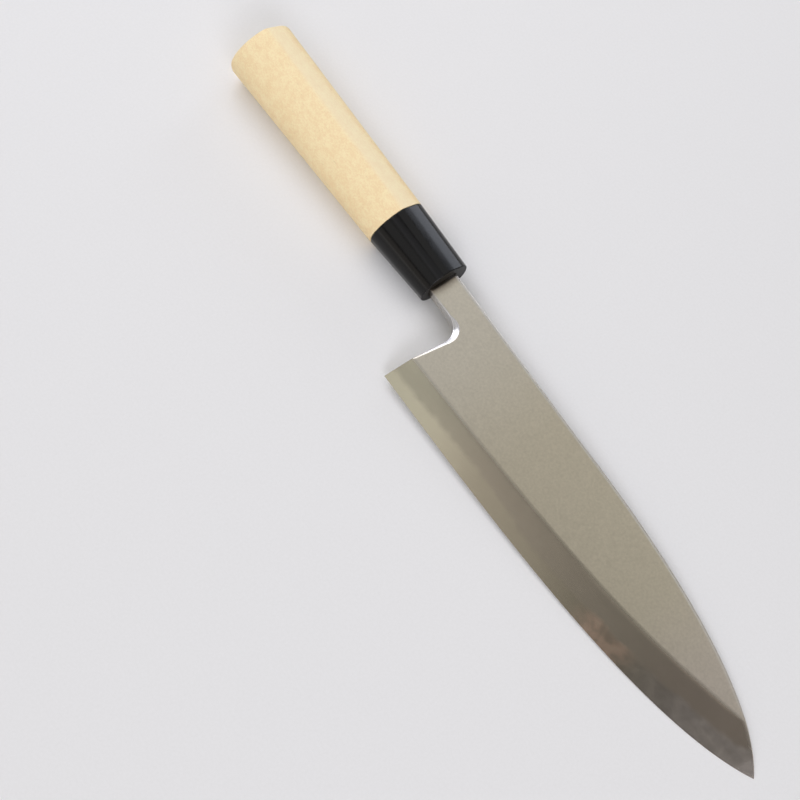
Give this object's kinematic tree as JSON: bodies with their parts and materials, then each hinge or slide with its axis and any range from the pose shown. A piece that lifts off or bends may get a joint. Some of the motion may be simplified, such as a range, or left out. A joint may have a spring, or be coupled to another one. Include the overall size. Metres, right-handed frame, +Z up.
{
  "type": "deba knife",
  "caption": "Japanese single-bevel fish knife with a laminated steel blade, a D-section wooden handle and a black ferrule.",
  "frame": {"origin": "centre of the bounding box's footprint, on the ground that the knife lies on", "axes": "+X from the butt to the blade's point, +Z up out of the ground, with the bevel side up and the spine towards +Y"},
  "size_m": [0.3612, 0.055, 0.0254],
  "materials": {
    "soft_iron": "fine satin grind",
    "hard_steel": "polished",
    "ho_wood": "bare, sanded",
    "black_plastic": "glossy"
  },
  "bodies": {
    "root": {"soft_iron_body": "soft_iron", "hard_steel_edge": "hard_steel", "handle": "ho_wood", "ferrule": "black_plastic"}
  },
  "joints": []
}
